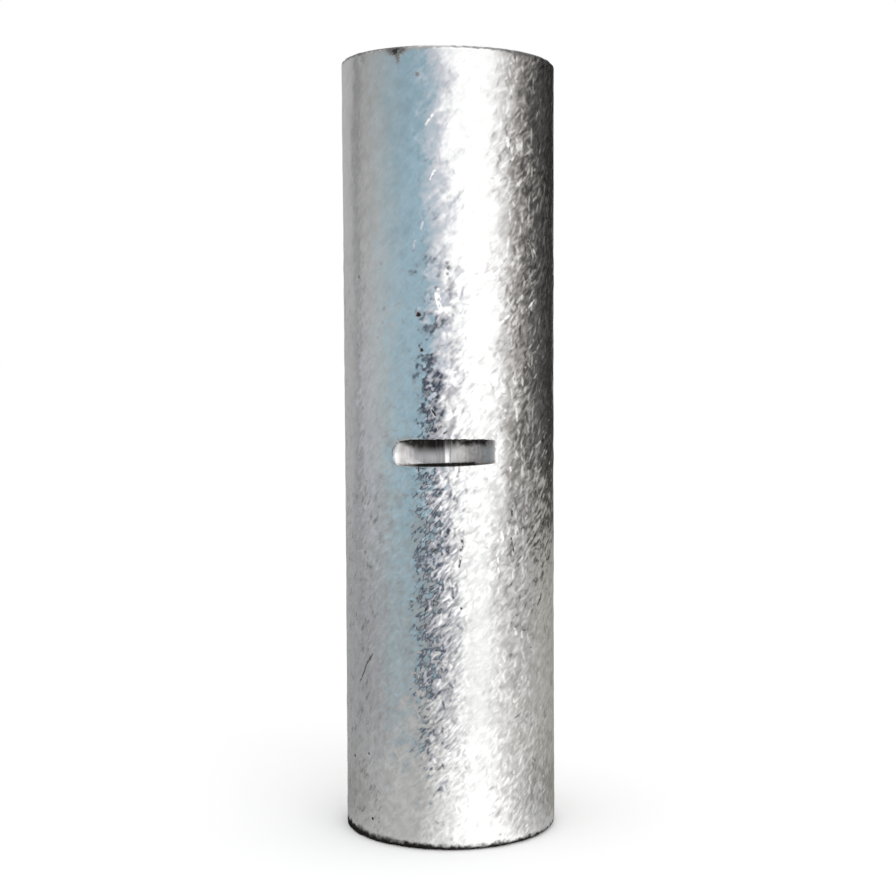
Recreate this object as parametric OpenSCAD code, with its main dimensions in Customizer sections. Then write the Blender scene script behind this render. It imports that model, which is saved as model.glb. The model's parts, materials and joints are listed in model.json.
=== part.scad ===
// Compression splice: a tinned copper tube, open at both ends, that joins two stranded
// conductors end to end. A stake punched across the front at mid length pushes a stop into the
// bore, so that each conductor goes in half way.
// Millimetres, +Z along the tube, origin at the centre of the lower end face, stake facing -Y.

/* [Tube] */
// Bore that takes the conductor
bore_d = 13.5; // [8:0.5:24]
// Wall of the tube
wall_t = 2.75; // [2:0.05:4]
// Length over both ends
body_l = 68.5; // [40:0.5:110]
// Rounding of the outer edge at each end, left by tumbling
edge_r = 0.45; // [0.2:0.05:0.8]
// Chamfer at the mouth of each bore
mouth_c = 0.4; // [0.2:0.05:0.8]

/* [Stake] */
// Width of the punched mark across the tube, over its bowed ends
stake_w = 8.95; // [5:0.05:14]
// Width of the flat part of the mark's floor
stake_floor_w = 6.9; // [3:0.1:12]
// Height of the mark's floor along the tube
stake_floor_h = 1.96; // [1:0.02:3]
// Wall left behind the mark's floor, before the stop is added
stake_floor_t = 1.15; // [0.8:0.05:1.6]
// Draft of the mark's upper and lower walls, in degrees
stake_draft = 6; // [2:0.5:12]
// Radius that carries each end of the floor up to the surface
stake_end_r = 1.5; // [0.6:0.1:2]
// How far each end of the mark bows out, seen from the front
stake_bow = 0.5; // [0.2:0.1:0.9]

/* [Stop] */
// Height of the stop above the bore
stop_h = 1.3; // [0.6:0.1:2]
// Width of the stop along the tube, at its crest
stop_crest = 2; // [1.2:0.1:4]
// Run of each flank of the stop along the tube
stop_flank = 1.1; // [0.6:0.1:2]
// How deep the root of the stop is bedded in the wall
stop_bed = 0.4; // [0.2:0.05:0.7]
// How far the stake draws the whole bore in at mid length
neck_in = 0.15; // [0.05:0.05:0.3]
// Length of bore that is drawn in past each flank of the stop
neck_past = 1.3; // [0.5:0.1:3]

/* [Hidden] */
$fn = 96;
// How far a cut passes the surface
overcut = 1;
bore_r = bore_d / 2;
body_r = bore_r + wall_t;
mid_z = body_l / 2;
reach = body_r + overcut;
floor_y = bore_r + stake_floor_t;
mark_depth = body_r - floor_y;
// Half height of the mark at its floor, at the surface and where the cut ends
floor_half_h = stake_floor_h / 2;
mark_half_h = floor_half_h + mark_depth * tan(stake_draft);
cut_half_h = floor_half_h + (reach - floor_y) * tan(stake_draft);
// Radius of the bowed ends, from their bow over the height of the mark
bow_r = (mark_half_h * mark_half_h + stake_bow * stake_bow) / (2 * stake_bow);
stop_y = bore_r - stop_h;
stop_half = stop_crest / 2 + stop_flank;
neck_run = stop_half + neck_past;
tin_tone = [0.78, 0.78, 0.77];

// Half section of the tube: outer corners rounded, mouths chamfered, bore drawn in at the middle.
module wall_section() {
    difference() {
        union() {
            translate([bore_r, 0])
                square([wall_t - edge_r, body_l]);
            translate([bore_r, edge_r])
                square([wall_t, body_l - 2 * edge_r]);
            for (z = [edge_r, body_l - edge_r])
                translate([body_r - edge_r, z])
                    circle(r = edge_r);
            polygon([
                [bore_r + stop_bed, mid_z - neck_run],
                [bore_r, mid_z - neck_run],
                [bore_r - neck_in, mid_z],
                [bore_r, mid_z + neck_run],
                [bore_r + stop_bed, mid_z + neck_run]
            ]);
        }
        polygon([[bore_r, 0], [bore_r + mouth_c, 0], [bore_r, mouth_c]]);
        polygon([[bore_r, body_l], [bore_r + mouth_c, body_l], [bore_r, body_l - mouth_c]]);
    }
}

module tube() {
    rotate_extrude()
        wall_section();
}

// A side outline, drawn as distance to the front and height, carried across the tube.
module across() {
    rotate([90, 0, -90])
        linear_extrude(height = 2 * reach, center = true)
            children();
}

// Plan of the mark: flat floor whose ends curve up, open to the front.
module mark_plan() {
    open_w = stake_floor_w + 2 * stake_end_r;
    translate([-stake_floor_w / 2, -reach])
        square([stake_floor_w, reach - floor_y]);
    for (side = [-1, 1])
        translate([side * stake_floor_w / 2, -floor_y - stake_end_r])
            circle(r = stake_end_r);
    translate([-open_w / 2, -reach - stake_end_r])
        square([open_w, reach - floor_y]);
}

// Side view of the mark: flat floor between two drafted walls.
module mark_side() {
    polygon([
        [floor_y, -floor_half_h],
        [reach, -cut_half_h],
        [reach, cut_half_h],
        [floor_y, floor_half_h]
    ]);
}

// Front view of the mark: straight above and below, bowed at both ends.
module mark_front() {
    square([stake_w - 2 * stake_bow, 2 * cut_half_h], center = true);
    for (side = [-1, 1])
        intersection() {
            translate([side * (stake_w - stake_bow) / 2, 0])
                square([stake_bow, 2 * cut_half_h], center = true);
            translate([side * (stake_w / 2 - bow_r), 0])
                circle(r = bow_r);
        }
}

module stake_mark() {
    translate([0, 0, mid_z])
        intersection() {
            linear_extrude(height = 2 * reach, center = true)
                mark_plan();
            across()
                mark_side();
            rotate([90, 0, 0])
                linear_extrude(height = 2 * reach, center = true)
                    mark_front();
        }
}

// Side view of the stop: flat crest between two sloping flanks, bedded in the wall.
module stop_side() {
    polygon([
        [bore_r + stop_bed, -stop_half],
        [bore_r, -stop_half],
        [stop_y, -stop_crest / 2],
        [stop_y, stop_crest / 2],
        [bore_r, stop_half],
        [bore_r + stop_bed, stop_half]
    ]);
}

module stop() {
    translate([0, 0, mid_z])
        intersection() {
            cylinder(h = 2 * reach, r = bore_r + stop_bed, center = true);
            across()
                stop_side();
        }
}

module splice_sleeve() {
    color(tin_tone)
        difference() {
            union() {
                tube();
                stop();
            }
            stake_mark();
        }
}

splice_sleeve();
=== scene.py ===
import json
import math
from collections import namedtuple

import bpy
import numpy as np
from mathutils import Matrix, Vector


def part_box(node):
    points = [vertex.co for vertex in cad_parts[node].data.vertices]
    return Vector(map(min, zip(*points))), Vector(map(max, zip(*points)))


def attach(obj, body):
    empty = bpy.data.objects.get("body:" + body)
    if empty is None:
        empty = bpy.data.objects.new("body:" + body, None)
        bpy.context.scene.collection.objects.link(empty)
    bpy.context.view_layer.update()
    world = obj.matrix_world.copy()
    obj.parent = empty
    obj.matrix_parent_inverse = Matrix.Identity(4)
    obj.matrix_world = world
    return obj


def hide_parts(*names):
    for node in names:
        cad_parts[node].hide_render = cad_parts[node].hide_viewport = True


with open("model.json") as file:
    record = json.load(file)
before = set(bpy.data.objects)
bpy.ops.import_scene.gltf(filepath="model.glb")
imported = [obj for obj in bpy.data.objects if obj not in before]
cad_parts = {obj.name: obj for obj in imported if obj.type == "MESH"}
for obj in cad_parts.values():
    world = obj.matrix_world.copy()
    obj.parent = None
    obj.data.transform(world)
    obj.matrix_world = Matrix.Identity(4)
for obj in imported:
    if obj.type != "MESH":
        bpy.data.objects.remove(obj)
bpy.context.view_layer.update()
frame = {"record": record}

# Compression splice: one tumbled and tinned copper tube with a stake punched across its front.
# The mesh and its patterns are worked out in millimetres. Angles round the tube are counted from
# the middle of the stake, which faces -Y, towards +X. Left and right are as seen from the front.
# A pair of places says where a change starts and where it is whole.

MM = 0.001
SEED = 47
NODE = "splice_sleeve"

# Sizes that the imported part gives
low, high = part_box(NODE)
OUTER_R = (high[0] - low[0]) / 2 / MM
LENGTH = (high[2] - low[2]) / MM
MID_Z = LENGTH / 2
MOUNTS = {mount["name"]: mount for mount in frame["record"]["mounts"]}
BORE_R = MOUNTS["upper_bore"]["dims"]["r_mm"]

# Sizes of the edges, the mark and the stop, as in the part's source
EDGE_R = 0.45
MOUTH_C = 0.4
STAKE_W = 8.95
STAKE_FLOOR_H = 1.96
STAKE_FLOOR_T = 1.15
STAKE_DRAFT = math.radians(6)
STAKE_BOW = 0.5
STOP_H = 1.3
STOP_CREST = 2.0
STOP_FLANK = 1.1
NECK_IN = 0.15
NECK_PAST = 1.3

FLOOR_Y = BORE_R + STAKE_FLOOR_T
MARK_DEPTH = OUTER_R - FLOOR_Y
FLOOR_HALF_H = STAKE_FLOOR_H / 2
MARK_HALF_H = FLOOR_HALF_H + MARK_DEPTH * math.tan(STAKE_DRAFT)
BOW_R = (MARK_HALF_H**2 + STAKE_BOW**2) / (2 * STAKE_BOW)
STOP_Y = BORE_R - STOP_H
NECK_RUN = STOP_CREST / 2 + STOP_FLANK + NECK_PAST

# Columns of the mesh on each side of the mark's middle: stretches in degrees, and their steps
COLUMN_STEPS = ((0, 5.6, 0.35), (5.6, 22, 0.75), (22, 31.5, 0.3), (31.5, 40.5, 0.9))
BACK_FROM = 40.5
BACK_COLUMNS = 100
# Rows of the outer wall above and below mid height: stretches, and their steps
ROW_STEPS = ((0, 0.86, 0.13), (0.88, 1.28, 0.03), (1.3, 3.0, 0.14))
FAR_FROM = 3.0
FAR_ROWS = 62
# Rows of the other bands, and where the bore's rows begin and end
EDGE_TURNS = np.radians(np.linspace(12, 90, 7))
FACE_START = 0.1
FACE_ROWS = 6
MOUTH_ROWS = 4
BORE_STEP = 0.3
BORE_NEAR_PAST = 0.6
BORE_FAR_PAST = 0.7
BORE_FAR_ROWS = 9
BORE_MOUTH_GAP = 0.2

# Unevenness of the walls: how far the skin lies inside the solid, its waist, swells and ripples,
# and the run towards an edge in which the last two fade
SKIN_IN = 0.012
WAIST = 0.05
SWELL = 0.006
SWELL_WAVES = (4, 14)
BORE_WAVES = (3, 12)
RIPPLE = 0.008
RIPPLE_WAVES = (1.6, 4)
EDGE_FADE = 2

# Lip of the mark, along its sides and at its ends: how the wall rounds over and is drawn down to it,
# where the ends begin, and how deep the wall lies where it counts as punched
LIP_R = 0.07
LIP_END_R = 0.3
DRAW_DOWN = 0.03
DRAW_DOWN_END = 0.07
DRAW_DOWN_REACH = 0.4
END_ZONE = (-1.4, -0.3)
PUNCHED_FROM = (0.02, 0.14)

# Floor of the mark: a ramp at each end, whose start bows on the left, and a groove
RAMP_FROM = 3.2
RAMP_SLOPE = math.tan(math.radians(17))
RAMP_BLEND = 0.22
RAMP_SPAN = math.radians(50)
LEFT_RAMP_BOW = 1.3
LEFT_RAMP_LOW = 0.15
GROOVE_AT = 0.54
GROOVE_DEPTH = 0.06
GROOVE_LEFT_W = 0.42
GROOVE_RIGHT_W = 2.4

# Outline of the mark, where it departs from the part's source
END_REACH = 0.2
LEFT_REACH = 0.1
END_RISE = 0.3
RIGHT_BOW = 0.3
LEFT_BOW = 2.8
UPPER_LIFT = 0.06
LOWER_SKEW = 0.022
RAGGED_EDGE = 0.018
RAGGED_WAVES = (0.3, 0.9)
FRONT_SPAN = math.radians(60)

# Ends of the tube: the slant of the upper cut, the shape and wear of the edges, and a nick
CUT_SLANT = 0.14
SLANT_RUN = 6
SHARPER_LEFT = 0.45
SHARPER_LEFT_LOW = 0.65
SHARPER_ZONE = (math.radians(20), math.radians(70))
EDGE_WEAR = 0.02
EDGE_WAVES = (0.8, 5)
NICK_AT = -25
NICK_HALF_W = 3
NICK_DEPTH = 0.1
FACE_DIP = 0.004
FACE_WAVES = (2, 6)
MOUTH_SOFTNESS = 1.2
STOP_BLEND = 0.25
STOP_SPAN = 1.2


def smoothstep(start, end, value):
    """0 before start, 1 after end, and a smooth ramp between."""
    t = np.clip((value - start) / (end - start), 0, 1)
    return t * t * (3 - 2 * t)


def soft_min(a, b, blend):
    """The lower of two heights, rounded where they cross within blend of each other."""
    t = np.clip(0.5 + 0.5 * (b - a) / blend, 0, 1)
    return b + (a - b) * t - blend * t * (1 - t)


def waves(rng, theta, z, shortest, longest, count=48):
    """Seamless random relief of unit spread, whose waves are between two lengths in millimetres."""
    total = np.zeros(np.broadcast(theta, z).shape)
    for _ in range(count):
        length = shortest * (longest / shortest) ** rng.random()
        heading = rng.random() * math.pi
        turns = round(OUTER_R * 2 * math.pi / length * math.cos(heading))
        rise = 2 * math.pi / length * math.sin(heading)
        total += np.cos(turns * theta + rise * z + rng.random() * 2 * math.pi)
    return total * math.sqrt(2 / count)


def spaced(steps):
    """Numbers at even steps, stretch after stretch."""
    return np.concatenate([np.arange(start, end, step) for start, end, step in steps])


def column_angles():
    """Angles of the mesh columns: close together across the mark, closest at its ends."""
    back = np.linspace(BACK_FROM, 180, BACK_COLUMNS)
    half = np.radians(np.concatenate([spaced(COLUMN_STEPS), back]))
    return np.concatenate([-half[:0:-1], half[:-1]])


def outer_heights():
    """Heights of the outer wall's rows: closest where the walls of the mark stand."""
    far = np.linspace(FAR_FROM, MID_Z - EDGE_R, FAR_ROWS)
    half = np.concatenate([spaced(ROW_STEPS), far])
    return MID_Z + np.concatenate([-half[:0:-1], half])


def mark_floor(theta, up):
    """Radius of the mark's floor: a flat across the front, whose ends ramp up to the skin."""
    off_middle = np.clip(np.abs(up + LEFT_RAMP_LOW) / FLOOR_HALF_H, 0, 1)
    ramp_from = RAMP_FROM - LEFT_RAMP_BOW * off_middle**2 * (theta < 0)
    turn = np.clip(np.abs(theta), 0, RAMP_SPAN)
    flat = FLOOR_Y / np.cos(turn)
    ramp = (FLOOR_Y - RAMP_SLOPE * ramp_from) / (np.cos(turn) - RAMP_SLOPE * np.sin(turn))
    return -soft_min(-flat, -ramp, RAMP_BLEND)


def floor_groove(theta):
    """Depth of the groove in the mark's floor: steep on its left, a long slope on its right."""
    past = OUTER_R * np.sin(theta) - GROOVE_AT
    side = np.where(past < 0, past / GROOVE_LEFT_W, past / GROOVE_RIGHT_W)
    return GROOVE_DEPTH * np.clip(1 - np.abs(side), 0, 1)


def mark_outside(rng, theta, up):
    """How far a point lies outside the mark's floor along the tube, and outside its bowed ends."""
    x = OUTER_R * np.sin(theta)
    ragged = UPPER_LIFT + RAGGED_EDGE * waves(rng, theta, 0.0, *RAGGED_WAVES)
    edge = FLOOR_HALF_H + np.where(up > 0, ragged, -LOWER_SKEW * x)
    bow = BOW_R - np.sqrt(np.maximum(BOW_R**2 - up**2, 0))
    bow = bow * np.where(theta > 0, RIGHT_BOW, LEFT_BOW)
    reach = END_REACH + np.where(theta > 0, 0, LEFT_REACH)
    across = np.abs(x) - (STAKE_W / 2 + reach - bow)
    across = np.where(np.abs(theta) > FRONT_SPAN, OUTER_R, across)
    return np.abs(up) - edge, across


def outer_wall(rng, theta):
    """Radius and height of the outer wall, how far it is punched, and the painted shade in the mark."""
    z = outer_heights()[:, None]
    up = z - MID_Z
    relief = SWELL * waves(rng, theta, z, *SWELL_WAVES) + RIPPLE * waves(rng, theta, z, *RIPPLE_WAVES)
    edge_fade = smoothstep(0, EDGE_FADE, np.minimum(z, LENGTH - z) - EDGE_R)
    waist = SKIN_IN + WAIST * (1 - (up / MID_Z) ** 2)
    along, across = mark_outside(rng, theta, up)
    outside = np.maximum(np.maximum(along, across), 0)
    near_end = smoothstep(*END_ZONE, across)
    drawn = DRAW_DOWN + (DRAW_DOWN_END - DRAW_DOWN) * near_end
    skin = OUTER_R - waist + relief * edge_fade - drawn * np.exp(-((outside / DRAW_DOWN_REACH) ** 2))
    walls = np.maximum(along, 0) / math.tan(STAKE_DRAFT) + np.maximum(across, 0) * END_RISE
    pocket = mark_floor(theta, up) - floor_groove(theta) + walls
    radius = soft_min(skin, pocket, LIP_R + (LIP_END_R - LIP_R) * near_end)
    depth = skin - radius
    punched = smoothstep(*PUNCHED_FROM, depth)
    return radius, np.broadcast_to(z, radius.shape), punched, mark_painted_shade(theta, up, along, depth)


# Painted shade in the mark: how much light each patch takes, and what the right band's end keeps of that
LEFT_BAND_SHADOW = 0.97
RIGHT_BAND_SHADOW = 0.92
RIGHT_END_SHARE = 0.4
RIGHT_SHADE_STRENGTH = 0.34
LOW_SHADE_STRENGTH = 0.4
GROOVE_LINE_DARKNESS = 0.5
# How far the painted shadow band under the upper edge is solid and where it is gone, and how that deepens
# inwards
LEFT_SOLID = 0.05
LEFT_GONE = 0.35
LEFT_SOLID_MORE = 0.3
LEFT_GONE_MORE = 1.25
RIGHT_SOLID = 0.1
RIGHT_GONE = 1.6
RIGHT_GONE_LESS = 0.5
# Where the patches start and end across the mark
BAND_HALVES = (-0.15, 0.2)
LEFT_BAND_FROM = (-4.5, -3.7)
LEFT_BAND_DEEP = (-4.0, -2.4)
RIGHT_BAND_THIN = (0.4, 1.2)
RIGHT_BAND_TO = (3.7, 4.6)
RIGHT_SHADE_FROM = (1.0, 3.0)
LOW_SHADE_FROM = (1.2, 2.4)
LOW_LINE_FROM = (-3.5, -2.4)
LOW_LINE_TO = (2.8, 3.6)
GROOVE_LINE_W = 0.11
GROOVE_LINE_CORE = 0.4
# Where they start along the tube and in depth
LOW_SHADE_RISE = (-0.3, -0.1)
LOW_LINE_RISE = (-0.12, -0.02)
GROOVE_LINE_RISE = (-0.7, 0.1)
SHADE_DEPTH = (0.0, 0.16)
LOW_LINE_DEPTH = (0.02, 0.15)


def upper_painted_shade(x, up):
    """A painted shadow band under the mark's upper edge: deep on its left half, thinner on its right,
    where painted shade also darkens the floor.
    """
    below_top = FLOOR_HALF_H + UPPER_LIFT - up
    deep = smoothstep(*LEFT_BAND_DEEP, x)
    solid = LEFT_SOLID + LEFT_SOLID_MORE * deep
    gone = LEFT_GONE + LEFT_GONE_MORE * deep
    left_band = LEFT_BAND_SHADOW * (1 - smoothstep(solid, gone, below_top))
    left_band = left_band * smoothstep(*LEFT_BAND_FROM, x)
    fade = 1 - smoothstep(*RIGHT_BAND_TO, x)
    gone = RIGHT_GONE - RIGHT_GONE_LESS * smoothstep(*RIGHT_BAND_THIN, x)
    right_band = RIGHT_BAND_SHADOW * (1 - smoothstep(RIGHT_SOLID, gone, below_top))
    right_band = right_band * (RIGHT_END_SHARE + (1 - RIGHT_END_SHARE) * fade)
    shade = RIGHT_SHADE_STRENGTH * smoothstep(*RIGHT_SHADE_FROM, x) * fade
    left = 1 - smoothstep(*BAND_HALVES, x)
    return left * left_band + (1 - left) * np.maximum(right_band, shade)


def mark_painted_shade(theta, up, along, depth):
    """Painted shade in the mark: a painted shadow under its upper edge, painted shade on and above its
    lower wall, and a dark line beside the groove.
    """
    x = OUTER_R * np.sin(theta)
    lower = up < 0
    low_shade = smoothstep(*LOW_SHADE_FROM, x) * smoothstep(*LOW_SHADE_RISE, along) * lower
    low_line = smoothstep(*LOW_LINE_RISE, along) * lower
    low_line = low_line * smoothstep(*LOW_LINE_FROM, x) * (1 - smoothstep(*LOW_LINE_TO, x))
    off_line = np.abs(x - GROOVE_AT - GROOVE_LINE_W)
    groove_line = 1 - smoothstep(GROOVE_LINE_CORE * GROOVE_LINE_W, GROOVE_LINE_W, off_line)
    groove_line = GROOVE_LINE_DARKNESS * groove_line * smoothstep(*GROOVE_LINE_RISE, up)
    shades = np.maximum(np.maximum(upper_painted_shade(x, up), LOW_SHADE_STRENGTH * low_shade), groove_line)
    shades = shades * smoothstep(*SHADE_DEPTH, depth)
    low_line = low_line * smoothstep(*LOW_LINE_DEPTH, depth)
    return 1 - np.sqrt(1 - np.maximum(shades, low_line))


def at_end(radius, height, top):
    """A band made for the upper end, turned over where it is for the lower one."""
    return (radius, height) if top else (radius[::-1], LENGTH - height[::-1])


def outer_edge(rng, theta, top):
    """The rounded outer edge at one end, from the wall to the end face, sharper on its left side."""
    turn = EDGE_TURNS[:, None]
    wear = np.maximum(EDGE_WEAR + EDGE_WEAR * waves(rng, theta, 0 * turn, *EDGE_WAVES), 0)
    from_nick = (np.degrees(theta) - NICK_AT) / NICK_HALF_W
    nick = NICK_DEPTH * np.exp(-(from_nick**2)) * top
    wear = (wear + nick) * np.sin(2 * turn)
    sharper = SHARPER_LEFT if top else SHARPER_LEFT_LOW
    fullness = 1 - sharper * smoothstep(*SHARPER_ZONE, -theta)
    radius = OUTER_R - EDGE_R + (EDGE_R - wear) * np.maximum(np.cos(turn), 0) ** fullness
    height = LENGTH - EDGE_R + (EDGE_R - wear) * np.sin(turn) ** fullness
    return at_end(radius, height, top)


def end_face(rng, theta, top):
    """The cut face at one end, from the outer edge to the mouth of the bore."""
    radius = np.linspace(OUTER_R - EDGE_R - FACE_START, BORE_R + MOUTH_C, FACE_ROWS)[:, None] + 0 * theta
    height = LENGTH - FACE_DIP * (1 + np.tanh(waves(rng, theta, radius, *FACE_WAVES)))
    return at_end(radius, height, top)


def mouth(theta, top):
    """The chamfer at the mouth of the bore, with a soft arris."""
    step = np.linspace(0, 1, MOUTH_ROWS)[1:, None]
    radius = BORE_R + MOUTH_C * (1 - step) ** MOUTH_SOFTNESS + 0 * theta
    height = LENGTH - MOUTH_C * step**MOUTH_SOFTNESS + 0 * theta
    return at_end(radius, height, top)


def bore_wall(rng, theta):
    """The bore from its upper to its lower mouth, drawn in at the middle, with the stop."""
    near = np.arange(0, NECK_RUN + BORE_NEAR_PAST, BORE_STEP)
    far = np.linspace(NECK_RUN + BORE_FAR_PAST, MID_Z - MOUTH_C - BORE_MOUTH_GAP, BORE_FAR_ROWS)
    half = np.concatenate([near, far])
    up = np.concatenate([half[::-1], -half[1:]])[:, None]
    neck = NECK_IN * (1 - smoothstep(0, NECK_RUN, np.abs(up)))
    drawn = BORE_R - neck + SWELL * waves(rng, theta, up, *BORE_WAVES)
    flank = np.maximum(np.abs(up) - STOP_CREST / 2, 0) / STOP_FLANK
    facing = np.cos(np.clip(theta, -STOP_SPAN, STOP_SPAN))
    stop = (STOP_Y + STOP_H * flank) / facing
    return soft_min(drawn, stop, STOP_BLEND), MID_Z + up + 0 * theta


# Material slots of the mesh, and the bore's share of its own length on the strip for baking
TUMBLED, CUT, DRAWN, PUNCHED = range(4)
BORE_UV_SHARE = 0.35


def stacked_bands():
    """The tube's skin as bands in order round its section: slot, radius, height."""
    rng = np.random.default_rng(SEED)
    theta = column_angles()
    radius, height, punched, soil = outer_wall(rng, theta)
    bands = [
        (TUMBLED, radius, height),
        (TUMBLED, *outer_edge(rng, theta, True)),
        (CUT, *end_face(rng, theta, True)),
        (CUT, *mouth(theta, True)),
        (DRAWN, *bore_wall(rng, theta)),
        (CUT, *mouth(theta, False)),
        (CUT, *end_face(rng, theta, False)),
        (TUMBLED, *outer_edge(rng, theta, False)),
    ]
    return theta, bands, punched, soil


def grid_faces(rows, columns):
    """Quads of a grid that closes on itself both ways."""
    row = np.arange(rows)[:, None]
    column = np.arange(columns)[None, :]
    next_row = (row + 1) % rows
    next_column = (column + 1) % columns
    corners = [(row, column), (row, next_column), (next_row, next_column), (next_row, column)]
    return np.stack([r * columns + c for r, c in corners], axis=-1).reshape(-1, 4)


def lay_out(mesh, theta, radius, height, row_slot):
    """One strip for baking: across is the angle, up is the way round the section."""
    step_r = np.diff(radius.mean(axis=1), append=radius[0].mean())
    step_z = np.diff(height.mean(axis=1), append=height[0].mean())
    run = np.hypot(step_r, step_z) * np.where(row_slot == DRAWN, BORE_UV_SHARE, 1)
    rows, columns = radius.shape
    up = np.concatenate([[0], np.cumsum(run)]) / run.sum()
    across = np.append(theta + math.pi, 2 * math.pi) / (2 * math.pi)
    u = np.stack([across[:-1], across[1:], across[1:], across[:-1]], axis=-1)
    v = np.stack([up[:-1], up[:-1], up[1:], up[1:]], axis=-1)
    corners = np.empty((rows, columns, 4, 2))
    corners[..., 0] = u[None, :, :]
    corners[..., 1] = v[:, None, :]
    layer = mesh.uv_layers.new(name="OFBake")
    layer.data.foreach_set("uv", corners.reshape(-1))


def build_sleeve(materials):
    """One closed mesh of the whole sleeve."""
    theta, bands, punched, soil = stacked_bands()
    radius = np.concatenate([band[1] for band in bands])
    height = np.concatenate([band[2] for band in bands])
    rows, columns = radius.shape
    height = height - CUT_SLANT * np.sin(theta) * smoothstep(LENGTH - SLANT_RUN, LENGTH, height)
    points = np.stack([radius * np.sin(theta), -radius * np.cos(theta), height], axis=-1)
    faces = grid_faces(rows, columns)
    mesh = bpy.data.meshes.new(NODE + "_skin")
    mesh.from_pydata(points.reshape(-1, 3) * MM, [], faces)
    row_slot = np.concatenate([np.full(len(band[1]), band[0]) for band in bands])
    face_slot = np.repeat(row_slot, columns)
    unpunched = np.zeros((rows - len(punched), columns))
    face_punched = np.concatenate([punched, unpunched]).reshape(-1)[faces].mean(axis=1)
    face_slot[face_punched > 0.5] = PUNCHED
    mesh.polygons.foreach_set("material_index", face_slot)
    mesh.polygons.foreach_set("use_smooth", np.ones(len(faces), dtype=bool))
    # The mark's painted shade, per point of the mesh
    point_shade = np.concatenate([soil, unpunched]).reshape(-1)
    mesh.attributes.new("soil", "FLOAT", "POINT").data.foreach_set("value", point_shade)
    lay_out(mesh, theta, radius, height, row_slot)
    for material in materials:
        mesh.materials.append(material)
    mesh.update()
    piece = bpy.data.objects.new(NODE + "_skin", mesh)
    bpy.context.collection.objects.link(piece)
    return piece


class Value:
    """An output of a node. Arithmetic on it makes the nodes that work out the result."""

    def __init__(self, graph, socket):
        self.graph = graph
        self.socket = socket

    def __add__(self, other):
        return self.graph.math("ADD", self, other)

    def __sub__(self, other):
        return self.graph.math("SUBTRACT", self, other)

    def __rsub__(self, other):
        return self.graph.math("SUBTRACT", other, self)

    def __mul__(self, other):
        return self.graph.math("MULTIPLY", self, other)

    def __truediv__(self, number):
        return self * (1 / number)

    def __pow__(self, power):
        return self.graph.math("POWER", self, power)

    def __abs__(self):
        return self.graph.math("ABSOLUTE", self)

    def ramp(self, start, end, low=0.0, high=1.0):
        """A smooth step from low, where the value is start, to high, where it is end."""
        node = self.graph.node("MapRange", interpolation_type="SMOOTHSTEP")
        for name, given in zip(("Value", "From Min", "From Max", "To Min", "To Max"),
                               (self, start, end, low, high)):
            self.graph.put(given, node.inputs[name])
        return Value(self.graph, node.outputs["Result"])

    def noise(self, length, detail=2.0):
        """Soft noise between 0 and 1 at a place, with waves of about the given length."""
        return Value(self.graph, self.graph.noises(self, length, detail)["Fac"])


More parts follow.
